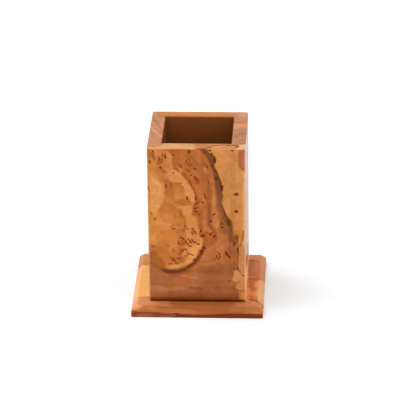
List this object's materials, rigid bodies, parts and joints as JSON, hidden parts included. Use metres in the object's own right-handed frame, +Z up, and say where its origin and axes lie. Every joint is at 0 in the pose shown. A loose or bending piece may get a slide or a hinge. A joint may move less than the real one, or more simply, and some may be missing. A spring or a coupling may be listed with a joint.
{
  "type": "pen stand",
  "caption": "Square upright pen stand: a tall open box of thick burl-wood boards with rabbeted corners, on a wider bevelled plinth.",
  "frame": {"origin": "middle of the plinth's underside, where the stand rests on the desk", "axes": "+Z up along the box, towards its open mouth; -Y towards the front; +X to the right seen from the front"},
  "size_m": [0.075, 0.075, 0.1],
  "materials": {
    "wall_wood": "sanded and waxed burl, golden brown with dark veins and small eyes",
    "floor_wood": "sawn and sanded, unpolished",
    "plinth_wood": "sanded and waxed, reddish brown with long streaks",
    "screw_steel": "zinc plated"
  },
  "bodies": {
    "root": {"front_panel": "wall_wood", "right_panel": "wall_wood", "back_panel": "wall_wood", "left_panel": "wall_wood", "floor_panel": "floor_wood", "plinth": "plinth_wood", "plinth_screws": "screw_steel"}
  },
  "joints": []
}
